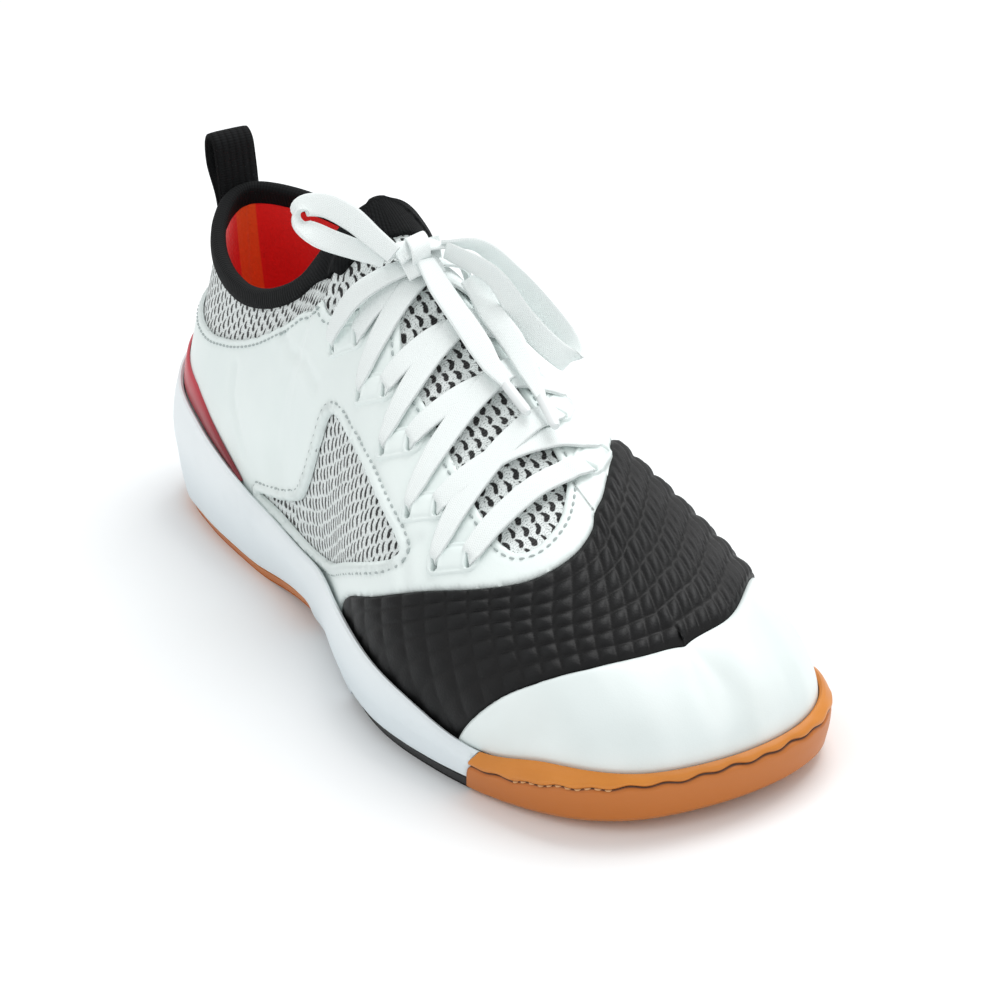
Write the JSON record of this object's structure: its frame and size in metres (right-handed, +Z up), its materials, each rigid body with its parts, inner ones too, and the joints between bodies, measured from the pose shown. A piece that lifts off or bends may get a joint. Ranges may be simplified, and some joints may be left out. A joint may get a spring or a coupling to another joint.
{
  "type": "indoor soccer shoe",
  "caption": "Right indoor soccer shoe with a knitted upper, white overlay, black vamp band and collar, gum toe bumper, pull loop and tied flat lace.",
  "frame": {"origin": "middle of the heel's flat tread face", "axes": "+Z up, +Y towards the heel's back, -Y towards the toe, +X towards the inner side of the right foot"},
  "size_m": [0.1069, 0.298, 0.1244],
  "materials": {
    "knit": "white engineered knit with grey flecks and black teardrop holes",
    "collar": "black knitted rib",
    "overlay": "white fused film with a satin sheen",
    "band": "black quilted synthetic, satin",
    "trim": "red film",
    "lining": "red mesh lining and footbed",
    "foam": "pale foam, fine grain",
    "gum": "gum rubber, smooth",
    "tread": "black rubber",
    "webbing": "black ribbed webbing",
    "lace": "white flat woven lace",
    "aglet": "clear white plastic"
  },
  "bodies": {
    "root": {"upper": "knit", "collar_band": "collar", "quarter_overlay": "overlay", "vamp_band": "band", "toe_overlay": "overlay", "heel_trim": "trim", "insole": "lining", "midsole": "foam", "outsole_heel": "gum", "outsole_forefoot": "tread", "outsole_toe": "gum", "pull_loop": "webbing", "lace_crossings": "lace", "lace_knot": "lace", "lace_loop_outer": "lace", "lace_loop_inner": "lace", "lace_end_outer": "lace", "lace_end_inner": "lace", "aglet_outer": "aglet", "aglet_inner": "aglet"}
  },
  "joints": []
}
